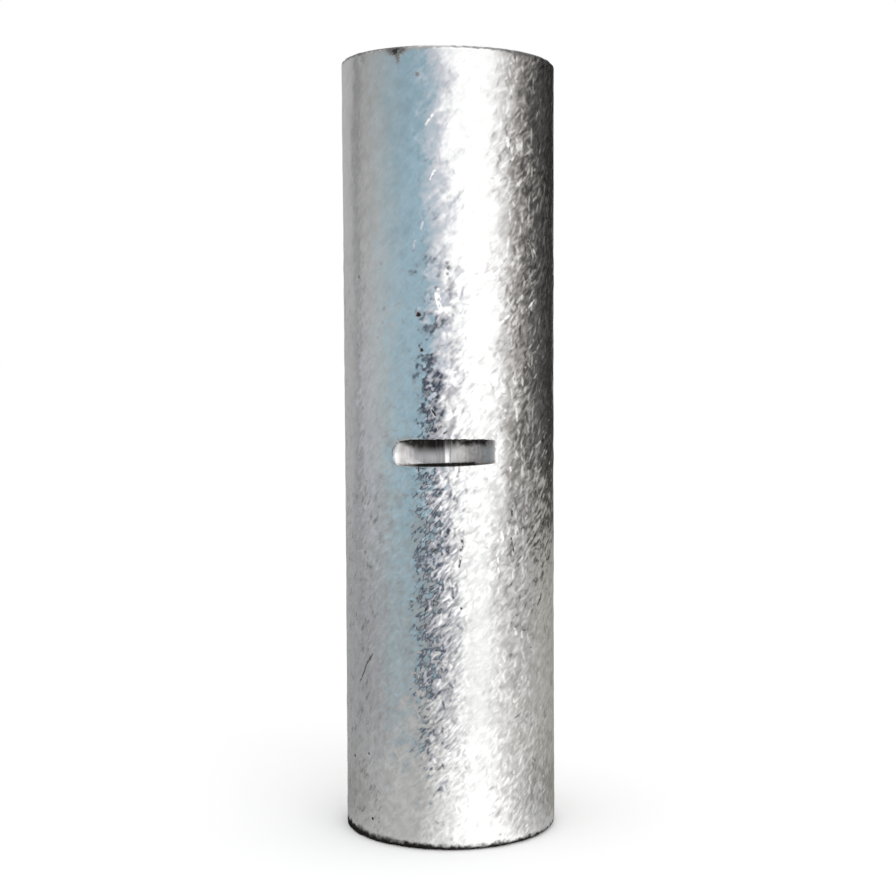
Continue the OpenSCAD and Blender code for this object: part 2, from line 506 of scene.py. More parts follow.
class Graph:
    """Short calls that build the nodes of one material, or of the world."""

    def __init__(self, name, kind="materials"):
        self.owner = getattr(bpy.data, kind).new(name)
        self.owner.use_nodes = True
        self.tree = self.owner.node_tree
        self.tree.nodes.clear()

    def put(self, value, socket):
        """Gives a socket a plain value, or links it to an output."""
        if isinstance(value, Value):
            value = value.socket
        if isinstance(value, bpy.types.NodeSocket):
            self.tree.links.new(value, socket)
        else:
            socket.default_value = value

    def node(self, kind, **settings):
        node = self.tree.nodes.new("ShaderNode" + kind)
        for name, value in settings.items():
            setattr(node, name, value)
        return node

    def finish(self, shader, output="OutputMaterial"):
        """Gives out a shader as the surface, and returns the material or world."""
        self.put(shader, self.node(output).inputs["Surface"])
        return self.owner

    def math(self, operation, *values):
        node = self.node("Math", operation=operation)
        for value, socket in zip(values, node.inputs):
            self.put(value, socket)
        return Value(self, node.outputs[0])

    def vector(self, operation, *values):
        node = self.node("VectorMath", operation=operation)
        for value, socket in zip(values, node.inputs):
            self.put(value, socket)
        plain = operation in ("DOT_PRODUCT", "DISTANCE")
        return Value(self, node.outputs["Value" if plain else "Vector"])

    def parts(self, vector):
        node = self.node("SeparateXYZ")
        self.put(vector, node.inputs[0])
        return [Value(self, socket) for socket in node.outputs]

    def mix(self, factor, first, second):
        """A colour between two others."""
        node = self.node("Mix", data_type="RGBA")
        self.put(factor, node.inputs["Factor"])
        colours = [socket for socket in node.inputs if socket.type == "RGBA"]
        self.put(first, colours[0])
        self.put(second, colours[1])
        return next(socket for socket in node.outputs if socket.type == "RGBA")

    def noises(self, place, length, detail):
        node = self.node("TexNoise")
        self.put(place, node.inputs["Vector"])
        node.inputs["Scale"].default_value = 1 / length
        node.inputs["Detail"].default_value = detail
        return node.outputs

    def slopes(self, place, length):
        """Two soft noises about 0, for slopes sideways and upward."""
        colour = self.noises(place, length, 1.0)["Color"]
        return self.parts(self.vector("SUBTRACT", colour, (0.5,) * 3))[:2]

    def tilted(self, around, sideways, upward):
        """The surface's normal, tilted by two slopes."""
        side = self.node("VectorMath", operation="SCALE")
        self.put(around, side.inputs[0])
        self.put(sideways, side.inputs["Scale"])
        up = self.node("CombineXYZ")
        self.put(upward, up.inputs["Z"])
        turned = self.node("VectorTransform", vector_type="VECTOR",
                           convert_from="OBJECT", convert_to="WORLD")
        sloped = self.vector("ADD", side.outputs["Vector"], up.outputs["Vector"])
        self.put(sloped, turned.inputs["Vector"])
        normal = self.node("NewGeometry").outputs["Normal"]
        return self.vector("NORMALIZE", self.vector("ADD", normal, turned.outputs["Vector"]))

    def place(self):
        """Where the point is, in millimetres from the centre of the lower end."""
        coordinates = self.node("TexCoord").outputs["Object"]
        return self.vector("MULTIPLY", coordinates, (1 / MM,) * 3)

    def soil(self):
        """The painted shade that the mesh carries in its mark."""
        return Value(self, self.node("Attribute", attribute_name="soil").outputs["Fac"])

    def cover(self, soil, metal):
        """The colour of metal under dirt and painted shade, which hides it sooner than it dulls it."""
        return self.mix((1 - soil) ** 2, SOIL_AND_SHADE_COLOUR, metal)

    def finish_metal(self, colour, roughness, soil, relief, normal=None):
        """A metal shader, dull where the mask of dirt and painted shade is 1, whose relief is in
        millimetres.
        """
        shader = self.node("BsdfPrincipled")
        shader.inputs["Specular IOR Level"].default_value = 0.0
        self.put(1 - soil, shader.inputs["Metallic"])
        self.put(colour, shader.inputs["Base Color"])
        self.put(roughness, shader.inputs["Roughness"])
        bump = self.node("Bump")
        bump.inputs["Strength"].default_value = 1.0
        bump.inputs["Distance"].default_value = MM
        self.put(relief, bump.inputs["Height"])
        if normal:
            self.put(normal, bump.inputs["Normal"])
        self.put(bump.outputs["Normal"], shader.inputs["Normal"])
        return self.finish(shader.outputs["BSDF"])


CLEAN_TIN = (0.90, 0.90, 0.895, 1)
RUBBED_TIN = (0.94, 0.89, 0.835, 1)
WARM_TIN = (0.74, 0.71, 0.70, 1)
BEIGE_TIN = (0.70, 0.66, 0.61, 1)
WARM_GREY = (0.49, 0.47, 0.47, 1)
DULL_TIN = (0.64, 0.64, 0.635, 1)
# Colour of dirt and of painted shade
SOIL_AND_SHADE_COLOUR = (0.016, 0.0145, 0.014, 1)
# Values between which soft noise mostly lies, a narrower span, and the detail of ragged noise
NOISE_SPAN = (0.3, 0.7)
NARROW_SPAN = (0.35, 0.65)
RAGGED = 3.0

# Dents of the tumbled wall: size of a cell, length and width of its dent, mean lean and its spread
STROKES = {"cell": 1.0, "length": 0.5, "width": 0.11, "lean": math.radians(62), "spread": math.radians(90)}
TICKS = {"cell": 0.7, "length": 0.32, "width": 0.1, "lean": math.radians(65), "spread": math.radians(160)}
# Slopes of dents, as shares of the steepest: the least, and how far they range above it
LEAST_DENT = -1.0
DENT_RANGE = 1.7
Dents = namedtuple("Dents", "tilt slope outline chance")


def leaning(graph, place, lean, stretch):
    """Places drawn out along helices that lean by an angle, so that noise on them is streaked."""
    height = graph.parts(place)[2]
    twist = graph.node("VectorRotate", rotation_type="Z_AXIS")
    graph.put(place, twist.inputs["Vector"])
    graph.put(height * (-1 / (math.tan(lean) * OUTER_R)), twist.inputs["Angle"])
    return graph.vector("MULTIPLY", twist.outputs["Vector"], (1.0, 1.0, 1 / stretch))


def dents(graph, place, around, cell, length, width, lean, spread):
    """Short tumbling dents, one in each cell, that lean about one way.

    Gives how far they tilt the surface sideways and upward, up to 1, their slope, their outline and
    a chance of each cell's own.
    """
    cells = graph.node("TexVoronoi", feature="F1")
    scaled = graph.vector("MULTIPLY", place, (1 / cell,) * 3)
    graph.put(scaled, cells.inputs["Vector"])
    cells.inputs["Scale"].default_value = 1.0
    off_middle = graph.vector("SUBTRACT", scaled, cells.outputs["Position"])
    from_middle = graph.vector("MULTIPLY", off_middle, (cell,) * 3)
    sideways = graph.vector("DOT_PRODUCT", from_middle, around)
    upward = graph.parts(from_middle)[2]
    chances = graph.parts(cells.outputs["Color"])
    turn = chances[0] * spread + (lean - spread / 2)
    cosine = graph.math("COSINE", turn)
    sine = graph.math("SINE", turn)
    along = upward * sine + sideways * cosine
    across = upward * cosine - sideways * sine
    reach = (along / length) ** 2 + (across / width) ** 2
    outline = graph.math("EXPONENT", reach * -1)
    slope = (chances[1] * DENT_RANGE + LEAST_DENT) * outline
    return Dents((slope * sine, slope * cosine), slope, outline, chances[2])


# Dark pits in the wall: angle in degrees, height, size, and how dark
PITS = ((-12.4, 46, 0.32, 1.0), (-10.9, 43, 0.24, 0.9), (9, 21, 0.16, 1.0), (-43, 2, 0.2, 1.0),
        (-61, 7, 0.2, 1.0), (-46, 7.7, 0.16, 1.0), (-12.5, 66.1, 0.3, 0.45), (-47, 67.9, 0.5, 0.3),
        (-34.5, 50.4, 0.25, 0.2), (-32.7, 46.6, 0.3, 0.22), (-33.4, 45.4, 0.25, 0.18),
        (-36.9, 44.1, 0.2, 0.18), (-52.2, 49.4, 0.3, 0.5), (-53.8, 43.5, 0.22, 0.35),
        (-52.8, 42.6, 0.22, 0.35), (2.2, 50.3, 0.2, 0.4), (3.0, 49.9, 0.25, 0.5), (2.7, 49.4, 0.2, 0.45),
        (118, 40, 0.2, 1.0), (-152, 19, 0.2, 1.0), (171, 55, 0.16, 1.0))
# Nick in the upper rim, in the same measures
NICK = ((-24.4, 68.25, 0.65, 0.86), (-27, 68.4, 0.8, 0.62), (-21.5, 68.3, 0.75, 0.62),
        (-23.2, 67.85, 0.45, 0.55), (-22.9, 67.5, 0.32, 0.5), (-22.9, 67.25, 0.25, 0.4))
# Dark scratches: angle and height of one end, then of the other, and how dark
SCRATCHES = ((-56, 13.5, -41, 17, 0.65), (63, 22, 57, 20.4, 0.9), (9, 33.1, 7.2, 32, 0.3),
             (10, 27, 9.4, 25.8, 0.65), (8.9, 25.6, 8.4, 24.4, 0.65), (-4.3, 21.9, -5.6, 20.8, 0.7),
             (-8.4, 20.2, -9.8, 19, 0.6), (-9.2, 26.4, -5.6, 27, 0.6), (-7.2, 38.7, -3.9, 37.3, 0.85),
             (-9, 35.9, -6, 36.8, 0.6), (-2.9, 36.3, 0.4, 36.6, 0.5), (-9, 39, -6.2, 39.6, 0.5),
             (37.2, 27, 39.2, 25.5, 0.8), (37.9, 29.8, 38.6, 28.6, 0.7),
             (140, 50, 152, 46, 0.6), (-120, 30, -112, 35, 0.6), (-170, 12, -163, 10, 0.6))
# Bright scratches: angle and height of one end, then of the other, and how steep
BRIGHT_SCRATCHES = ((49, 52.6, 57.5, 51, 1.0), (47, 46.2, 56, 47.5, 1.0), (29, 45, 37, 46, 0.8),
                    (50, 43, 55, 44, 0.9), (57, 43, 63, 44, 0.9), (150, 44, 158, 46, 1.0),
                    (-140, 52, -133, 53, 0.8), (-160, 26, -152, 28, 1.0))
# Bright scratches on the left of the highlight, in the same measures
LEFT_BRIGHT_SCRATCHES = ((-8.8, 61.7, -4, 62.8, 0.8), (-2.4, 48.3, -0.4, 46.1, 1.0),
                         (-3.6, 48, -1.8, 46.4, 0.9), (-15.4, 51.3, -13.6, 52.4, 0.7),
                         (-11.2, 53, -9.4, 53.9, 0.7), (-6.5, 57.2, -3, 58.2, 0.8))
SCRATCH_HALF_W = 0.16
SCRATCH_WANDER = 0.7
WANDER_LENGTH = 0.9
BREAK_LENGTH = 0.45
BREAK_SPAN = (0.36, 0.5)
PIT_GRAIN = 0.2
# Where a pit begins and is whole, as shares of its size
PIT_EDGE = (1.5, 0.8)


def pits(graph, place, rows):
    """How dark each pit of the wall is, inside it."""
    grain = place.noise(PIT_GRAIN)
    found = 0.0
    for angle, height, size, darkness in rows:
        turn = math.radians(angle)
        middle = (OUTER_R * math.sin(turn), -OUTER_R * math.cos(turn), height)
        ragged = graph.vector("DISTANCE", place, middle) + grain * size
        start, whole = (size * share for share in PIT_EDGE)
        found = graph.math("MAXIMUM", found, ragged.ramp(start, whole, 0.0, darkness))
    return found


def scratches(graph, place, rows, wander):
    """How strong each scratch of the wall is, along its middle."""
    x, y, z = graph.parts(place)
    strayed = place.noise(WANDER_LENGTH) * wander - wander / 2
    flat = graph.math("ARCTAN2", x, y * -1) * OUTER_R + strayed
    found = 0.0
    for angle_a, height_a, angle_b, height_b, strength in rows:
        start = Vector((math.radians(angle_a) * OUTER_R, height_a))
        run = Vector((math.radians(angle_b) * OUTER_R, height_b)) - start
        way = run.normalized()
        right = flat - start.x
        up = z - start.y
        along = right * way.x + up * way.y
        off = up * way.x - right * way.y
        thin = abs(off).ramp(SCRATCH_HALF_W, SCRATCH_HALF_W / 4)
        ends = abs(along - run.length / 2).ramp(run.length / 2, run.length / 3)
        found = graph.math("MAXIMUM", found, thin * ends * strength)
    return found * place.noise(BREAK_LENGTH).ramp(*BREAK_SPAN)


# Dirt and painted shade at the rims: its ragged fringe, how high it reaches at the foot and how dark it is
# at the top
FRINGE_LENGTH = 0.5
FRINGE_DETAIL = 5.0
LOW_FRINGE = 0.9
LOW_RIM_EDGE = (0.5, -0.1)
LOW_RIM_ZONE = (-4.5, 1.5)
LOW_RIM_HEIGHTS = (0.38, 0.18)
LOW_SMUDGE_ZONE = (-8.9, -5.5)
LOW_SMUDGE = 0.22
UPPER_FRINGE = 0.7
UPPER_RIM_EDGE = (0.45, 0.05)
UPPER_RIM_ZONE = (-4.5, 0.5)
UPPER_RIM_SOIL_AND_SHADE = (0.6, 0.05)
# Crackle on the left side: lean, stretch and length of its cracks, their clusters, and where it lies
CRACK_LEAN = (math.radians(65), 2.0)
CRACK_LENGTH = 0.34
CRACK_SPAN = (0.5, 0.66)
CLUSTER_LENGTH = 1.8
CLUSTER_SPAN = (0.4, 0.6)
CRACKLE_SIDE = (-4.8, -6.2)
CRACKLE_TOP = (36, 28)
CRACKLE_SOIL = 0.4
# Dark specks on the front: outline and chance of the strokes that hold them, and where they lie
SPECK_OUTLINE = (0.4, 0.8)
SPECK_CHANCE = (0.86, 0.98)
SPECK_EDGE = (1.5, 2.6)
SPECK_FOOT = (10, 15)
SPECK_TOP = (33, 41)
SPECK_DARKNESS = (0.85, 0.1)


def rim_soil_and_shade(graph, place):
    """Dark dirt at both rims, with a painted contact shadow at the foot and a painted dark reflection
    under the upper cut: ragged, and heaviest on the left side.
    """
    x, _, height = graph.parts(place)
    fringe = place.noise(FRINGE_LENGTH, FRINGE_DETAIL) - 0.5
    # At the foot: dirt with a painted contact shadow; under the upper cut: dirt with a painted dark
    # reflection
    smudge = x.ramp(*LOW_SMUDGE_ZONE, LOW_SMUDGE, 0.0)
    low_edge = x.ramp(*LOW_RIM_ZONE, *LOW_RIM_HEIGHTS) + smudge
    lower = (fringe * LOW_FRINGE + height - low_edge).ramp(*LOW_RIM_EDGE)
    below_cut = x * (-CUT_SLANT / OUTER_R) + LENGTH - height
    upper = (fringe * UPPER_FRINGE + below_cut).ramp(*UPPER_RIM_EDGE)
    return graph.math("MAXIMUM", lower, upper * x.ramp(*UPPER_RIM_ZONE, *UPPER_RIM_SOIL_AND_SHADE))


def crackle(graph, place):
    """Small dark cracks in clusters, low on the left side."""
    x, _, height = graph.parts(place)
    streaked = leaning(graph, place, *CRACK_LEAN)
    cracks = streaked.noise(CRACK_LENGTH, RAGGED).ramp(*CRACK_SPAN)
    clusters = place.noise(CLUSTER_LENGTH).ramp(*CLUSTER_SPAN)
    where = x.ramp(*CRACKLE_SIDE) * height.ramp(*CRACKLE_TOP)
    return cracks * clusters * where * CRACKLE_SOIL


def specks(graph, place, strokes):
    """Dark specks in a few strokes of the front, most of them below the mark."""
    x, _, height = graph.parts(place)
    chosen = strokes.outline.ramp(*SPECK_OUTLINE) * strokes.chance.ramp(*SPECK_CHANCE)
    where = height.ramp(*SPECK_FOOT) * front_zone(x, SPECK_EDGE)
    return chosen * where * height.ramp(*SPECK_TOP, *SPECK_DARKNESS)


# Slopes of the tumbled wall: of bright scratches, dents and the noise between them, and their limit
BRIGHT_SLOPE = 0.3
STROKE_SLOPE = 0.3
TICK_SLOPE = 0.24
CRUMPLE_SLOPE = 0.28
FLECK_SLOPE = 0.5
RIGHT_FLECK_SLOPE = 0.28
LOW_RIGHT_FLECK_SLOPE = 0.34
BLOTCH_SLOPE = 0.26
CRINKLE_SLOPE = 0.55
LOW_CRINKLE_SLOPE = 0.15
SLOPE_LIMIT = 0.26
# Lean and stretch of the streaked noise, then wave lengths
CRUMPLE_LEAN = (math.radians(60), 1.2)
FLECK_LEAN = (math.radians(55), 1.5)
CRUMPLE_LENGTH = 0.8
FLECK_LENGTH = 0.34
BLOTCH_LENGTH = 2.2
CRINKLE_LENGTH = 0.62
PATCH_LENGTH = 5.0
# Zones of the tumbled wall across the tube; the front's edge is counted from the front's middle
FRONT_MIDDLE = -0.5
FRONT_EDGE = (1.4, 3.0)
LEFT_EDGE = (-7.0, -8.4)
LEFT_SIDE = (-5.5, -1.5)
FACET_SIDE = (1.5, 4.5)
HIGHLIGHT = (1.0, 3.0)
CALM_SIDE = (4.0, 1.0)
PAST_HIGHLIGHT = (2.5, 4.5)
RIGHT_SIDE = (3.5, 5.5)
FLATTER_SIDE = (4.5, 6.5)
FAR_RIGHT = (5.3, 6.6)
# Zones of the tumbled wall along the tube
FOOT = (4, 15)
LOW_PART = (24, 15)
LOWER_PART = (34, 24)
UNDER_MARK = (36, 29)
OVER_MARK = (29, 36)
MIDDLE_FROM = (34, 38)
MIDDLE_TO = (56, 49)
POLISH_TOP = (46, 41)
BRIGHTER_UP = (28, 48)
UPPER_PART = (38, 60)
# What the dents gain or lose in those zones
UPPER_CALM = -0.6
FRONT_GAINS = (-0.5, 0.7)
RIGHT_FINE = 1.4
RIGHT_COARSE = 0.65
PATCH_WEAR = 0.6
LEFT_WEAR = 0.5
LOW_RIGHT_WEAR = 0.1
HIGHLIGHT_WEAR = 0.85
FAR_RIGHT_WEAR = 2.1
FLATTER_WEAR = 0.8
# Tone and roughness of the tumbled wall, with painted shade on facets that turn away from the highlight
MOTTLE_LENGTH = 0.9
MOTTLE = 0.4
FLECK_FACETS = 1.5
FACET_SPAN = (-0.8, 0.8)
FACET_SHADE = 0.5
RIGHT_FACET_SHADE = 0.15
RIGHT_FACET_TURN = -1.9
UPPER_TONE = 0.6
GRAIN_LENGTH = 0.4
GRAIN = (0.18, 0.26)
POLISH = (-0.1, -0.34)
# Roughness added under dirt and painted shade
SOIL_AND_SHADE_ROUGHNESS = 0.5
PIT_DEPTH = 0.02


def front_zone(x, edge):
    """1 along the front, and 0 past its edge on both sides."""
    return abs(x - FRONT_MIDDLE).ramp(*edge, 1.0, 0.0)


def wear(graph, place):
    """How strongly the dents tilt the wall sideways and upward."""
    x, _, height = graph.parts(place)
    patch = place.noise(PATCH_LENGTH).ramp(*NARROW_SPAN, PATCH_WEAR, 1.0)
    mid_height = height.ramp(*MIDDLE_FROM) * height.ramp(*MIDDLE_TO)
    rough_edge = x.ramp(*LEFT_EDGE) * mid_height
    low_right = x.ramp(*PAST_HIGHLIGHT) * height.ramp(*LOW_PART)
    rougher = low_right * LOW_RIGHT_WEAR + rough_edge + 1
    worn = patch * x.ramp(*LEFT_SIDE, LEFT_WEAR, 1.0) * rougher
    sideways = x.ramp(*HIGHLIGHT, 1.0, HIGHLIGHT_WEAR)
    sideways = sideways * x.ramp(*FAR_RIGHT, 1.0, FAR_RIGHT_WEAR)
    return worn * sideways, worn * x.ramp(*FLATTER_SIDE, 1.0, FLATTER_WEAR)


def wall_tilt(graph, place, strokes, ticks, flecks):
    """Slopes of the tumbled wall sideways and upward: dents, the noise between them, bright scratches."""
    x, _, height = graph.parts(place)
    crumples = graph.slopes(leaning(graph, place, *CRUMPLE_LEAN), CRUMPLE_LENGTH)
    blotches = graph.slopes(place, BLOTCH_LENGTH)
    crinkles = graph.slopes(place, CRINKLE_LENGTH)
    front = front_zone(x, FRONT_EDGE)
    calm = height.ramp(*UPPER_PART, 0.0, UPPER_CALM) * x.ramp(*CALM_SIDE) + 1
    front_gain = height.ramp(*UNDER_MARK, *FRONT_GAINS) * height.ramp(*FOOT)
    fine_share = calm * (front * front_gain + 1) * x.ramp(*RIGHT_SIDE, 1.0, RIGHT_FINE)
    coarse_share = x.ramp(*RIGHT_SIDE, 1.0, RIGHT_COARSE)
    right_slope = height.ramp(*LOWER_PART, RIGHT_FLECK_SLOPE, LOW_RIGHT_FLECK_SLOPE)
    fleck_slope = x.ramp(*PAST_HIGHLIGHT, FLECK_SLOPE, right_slope)
    crinkle_share = calm * front * height.ramp(*UNDER_MARK, CRINKLE_SLOPE, LOW_CRINKLE_SLOPE)
    tilt = []
    for way, worn in enumerate(wear(graph, place)):
        fine = strokes.tilt[way] * STROKE_SLOPE + ticks.tilt[way] * TICK_SLOPE + flecks[way] * fleck_slope
        coarse = crumples[way] * CRUMPLE_SLOPE + blotches[way] * BLOTCH_SLOPE
        sloped = fine * fine_share + coarse * coarse_share + crinkles[way] * crinkle_share
        tilt.append(graph.math("TANH", sloped * worn / SLOPE_LIMIT) * SLOPE_LIMIT)
    glints = scratches(graph, place, LEFT_BRIGHT_SCRATCHES, 0.0)
    glints = glints - scratches(graph, place, BRIGHT_SCRATCHES, 0.0)
    tilt[0] = tilt[0] + glints * BRIGHT_SLOPE
    return tilt


def wall_tone(graph, place, strokes, ticks, flecks):
    """Colour of the bare wall: duller in patches, and darker with painted shade on facets that turn away
    from the highlight.
    """
    x, _, height = graph.parts(place)
    mottle = place.noise(MOTTLE_LENGTH, RAGGED).ramp(*NOISE_SPAN, 0.0, MOTTLE)
    low_right = x.ramp(*FACET_SIDE) * height.ramp(*LOWER_PART)
    facets = flecks[0] * FLECK_FACETS + (strokes.slope + ticks.slope)
    facets = facets * (low_right * RIGHT_FACET_TURN + 1)
    deepest_facet_shade = low_right * RIGHT_FACET_SHADE + FACET_SHADE
    # Painted shade on facets by the way they turn, added to random mottle
    dull = facets.ramp(*FACET_SPAN, deepest_facet_shade, 0.0) + mottle
    dull = dull * height.ramp(*BRIGHTER_UP, 1.0, UPPER_TONE)
    return graph.mix(dull, CLEAN_TIN, DULL_TIN)


def wall_roughness(graph, place, soil):
    """Roughness of the wall: lower on the front, most of all above the mark, and higher under dirt and
    painted shade.
    """
    x, _, height = graph.parts(place)
    grain = place.noise(GRAIN_LENGTH).ramp(*NOISE_SPAN, *GRAIN)
    polish = height.ramp(*OVER_MARK, *POLISH) * height.ramp(*POLISH_TOP)
    return grain * (front_zone(x, FRONT_EDGE) * polish + 1) + soil * SOIL_AND_SHADE_ROUGHNESS


def tumbled_tin():
    """Outer wall: satin tin, covered with short dents from tumbling, with pits, and rims darkened by dirt
    and painted shade.
    """
    graph = Graph("tumbled_tin")
    place = graph.place()
    around = graph.vector("NORMALIZE", graph.vector("CROSS_PRODUCT", (0.0, 0.0, 1.0), place))
    strokes = dents(graph, place, around, **STROKES)
    ticks = dents(graph, place, around, **TICKS)
    flecks = graph.slopes(leaning(graph, place, *FLECK_LEAN), FLECK_LENGTH)
    holes = graph.math("MAXIMUM", pits(graph, place, PITS + NICK),
                       scratches(graph, place, SCRATCHES, SCRATCH_WANDER))
    # The mark's painted shade from the mesh, to which the dark marks below are added
    soil = graph.soil()
    # Dark marks: pits and scratches, rims with dirt and painted shade, specks and crackle
    for dark_mark in (holes, rim_soil_and_shade(graph, place), specks(graph, place, strokes), crackle(graph, place)):
        soil = graph.math("MAXIMUM", soil, dark_mark)
    colour = graph.cover(soil, wall_tone(graph, place, strokes, ticks, flecks))
    tilt = wall_tilt(graph, place, strokes, ticks, flecks)
    return graph.finish_metal(colour, wall_roughness(graph, place, soil), soil, holes * -PIT_DEPTH,
                              graph.tilted(around, *tilt))


# Cut ends: spacing and waver of the turning lines, worn patches, and roughness
TURN_SPACING = 0.16
TURN_WAVER = 0.4
TURN_WAVER_LENGTH = 5.0
TURNED_DEPTH = 0.012
CUT_PATCH = 1.6
CUT_PATCH_RELIEF = 0.5
CUT_PATCH_SPAN = (0.35, 0.7)
CUT_ROUGHNESS = (0.26, 0.38)
# Bore: how far its draw lines are squeezed along the tube, their spacing, patches, and roughness
DRAW_SQUEEZE = 0.05
DRAW_SPACING = 0.35
DRAWN_DEPTH = 0.02
BORE_PATCH = 3.0
BORE_PATCH_RELIEF = 0.8
DRAWN_ROUGHNESS = (0.28, 0.42)


def cut_tin():
    """End faces and mouths: fine turning lines round the axis."""
    graph = Graph("cut_tin")
    place = graph.place()
    x, y, _ = graph.parts(place)
    rings = graph.node("CombineXYZ")
    graph.put(graph.math("SQRT", x * x + y * y), rings.inputs[0])
    graph.put(place.noise(TURN_WAVER_LENGTH) * TURN_WAVER, rings.inputs[1])
    lines = Value(graph, rings.outputs[0]).noise(TURN_SPACING, RAGGED)
    worn = place.noise(CUT_PATCH)
    relief = (worn * CUT_PATCH_RELIEF + lines) * TURNED_DEPTH
    colour = graph.mix(worn.ramp(*CUT_PATCH_SPAN), CLEAN_TIN, DULL_TIN)
    roughness = lines.ramp(*NOISE_SPAN, *CUT_ROUGHNESS)
    return graph.finish_metal(colour, roughness, 0.0, relief)


def drawn_tin():
    """Bore: draw lines along the tube, a little duller than outside."""
    graph = Graph("drawn_tin")
    place = graph.place()
    long_way = graph.vector("MULTIPLY", place, (1.0, 1.0, DRAW_SQUEEZE))
    lines = long_way.noise(DRAW_SPACING, RAGGED)
    patch = place.noise(BORE_PATCH)
    relief = (patch * BORE_PATCH_RELIEF + lines) * DRAWN_DEPTH
    colour = graph.mix(patch.ramp(*NOISE_SPAN), CLEAN_TIN, DULL_TIN)
    roughness = lines.ramp(*NOISE_SPAN, *DRAWN_ROUGHNESS)
    return graph.finish_metal(colour, roughness, 0.0, relief)


# Inside of the mark: grinding lines, fine grain, blots in its painted shade, and roughness
GRIND_SQUEEZE = 0.06
GRIND_SPACING = 0.22
PUNCHED_DEPTH = 0.02
FINE_LENGTH = 0.5
FINE_RELIEF = 0.4
BLOT_LENGTH = 0.3
BLOT_SHARES = (0.3, -0.3)
STREAK_SHARES = (1.25, 0.8)
LINE_TONES = (0.3, 0.9)
PUNCHED_ROUGHNESS = (0.36, 0.46)
CLEAN_GLOSS = 0.6
# Places across the mark: its dull floor, its right half, the clean streak, the rubbed metal beside it
DULL_FLOOR_FROM = (-4.4, -3.5)
RIGHT_HALF = (0.5, 1.5)
CLEAN_STREAK_FROM = (0.0, 0.15)
CLEAN_STREAK_TO = (0.65, 0.5)
RUBBED_FROM = (0.5, 0.65)
RUBBED_TO = (2.6, 1.2)
RUBBED_SHARE = 0.95


def punched_tin():
    """Inside of the mark: grinding lines of the punch run up and down, with painted shade streaked along
    them.
    """
    graph = Graph("punched_tin")
    place = graph.place()
    x = graph.parts(place)[0]
    upright = graph.vector("MULTIPLY", place, (1.0, 1.0, GRIND_SQUEEZE))
    lines = upright.noise(GRIND_SPACING, RAGGED)
    fine = place.noise(FINE_LENGTH)
    right_half = x.ramp(*RIGHT_HALF)
    blots = place.noise(BLOT_LENGTH, RAGGED).ramp(*NARROW_SPAN, *BLOT_SHARES)
    # The mesh's painted shade, streaked by the grinding lines and blotched on the right half
    streaked = graph.soil() * lines.ramp(*NOISE_SPAN, *STREAK_SHARES)
    soil = graph.math("MINIMUM", streaked * (blots * right_half + 1), 1.0)
    rubbed = x.ramp(*RUBBED_FROM) * x.ramp(*RUBBED_TO, 0.0, RUBBED_SHARE)
    streak = x.ramp(*CLEAN_STREAK_FROM) * x.ramp(*CLEAN_STREAK_TO)
    dull_floor = x.ramp(*DULL_FLOOR_FROM) - streak
    bare = graph.mix(right_half, WARM_TIN, BEIGE_TIN)
    lined = graph.mix(lines.ramp(*NARROW_SPAN, *LINE_TONES), bare, WARM_GREY)
    floor = graph.mix(rubbed, lined, RUBBED_TIN)
    colour = graph.cover(soil, graph.mix(dull_floor, CLEAN_TIN, floor))
    grain = fine.ramp(*NOISE_SPAN, *PUNCHED_ROUGHNESS)
    roughness = grain * dull_floor.ramp(0.0, 1.0, CLEAN_GLOSS, 1.0)
    return graph.finish_metal(colour, roughness, soil, (fine * FINE_RELIEF + lines) * PUNCHED_DEPTH)


# Camera that matches the photograph: radii of the tube, and pixels of an 896 pixel frame
CAMERA_AZIMUTH = math.radians(3.3)
CAMERA_DISTANCE = 14.83
CAMERA_HEIGHT = 4.442
CAMERA_PITCH = math.radians(-3.26)
CAMERA_ROLL = math.radians(-0.26)
CAMERA_YAW = math.radians(0.05)
FOCAL_PIXELS = 1554.2
FRAME_PIXELS = 896
SENSOR_MM = 36
CLIP_START = 0.01

# Stage, in metres: white floor and world, one soft lamp, and cards that show only in reflections
WORLD_LEVEL = 1.03
FLOOR_TONE = (0.98, 0.98, 0.98, 1)
FLOOR_SIDE = 12.0
KEY_SIZE = (0.40, 0.50)
KEY_ENERGY = 0.6
KEY_TURN = math.radians(26)
KEY_DISTANCE = 0.45
KEY_HEIGHT = 0.24
KEY_AIM_HEIGHT = 0.04
WALL_R = 0.25
WALL_SPLIT = 0.22
WALL_TOP = 0.45
WALL_FADE = 0.8
FADE_FROM = 0.055
FADE_TO = 0.11
TABLE_R = 0.0096
INNER_R = 0.026
NEAR_R = 0.045
BLUE_MAT_R = 0.05
LOW_MAT_R = 0.06
TABLE_H = 0.0002
BLUE_MAT_H = 0.0003
LOW_MAT_H = 0.0004
LOW_CARD_R = 0.2
LOW_CARD_TOP = 0.05
SKIRT_TOP = 0.006
RIGHT_LOW_TOP = 0.02
BACK_R = 0.245
BACK_FOOT = 0.07
CARD_STEPS = 72

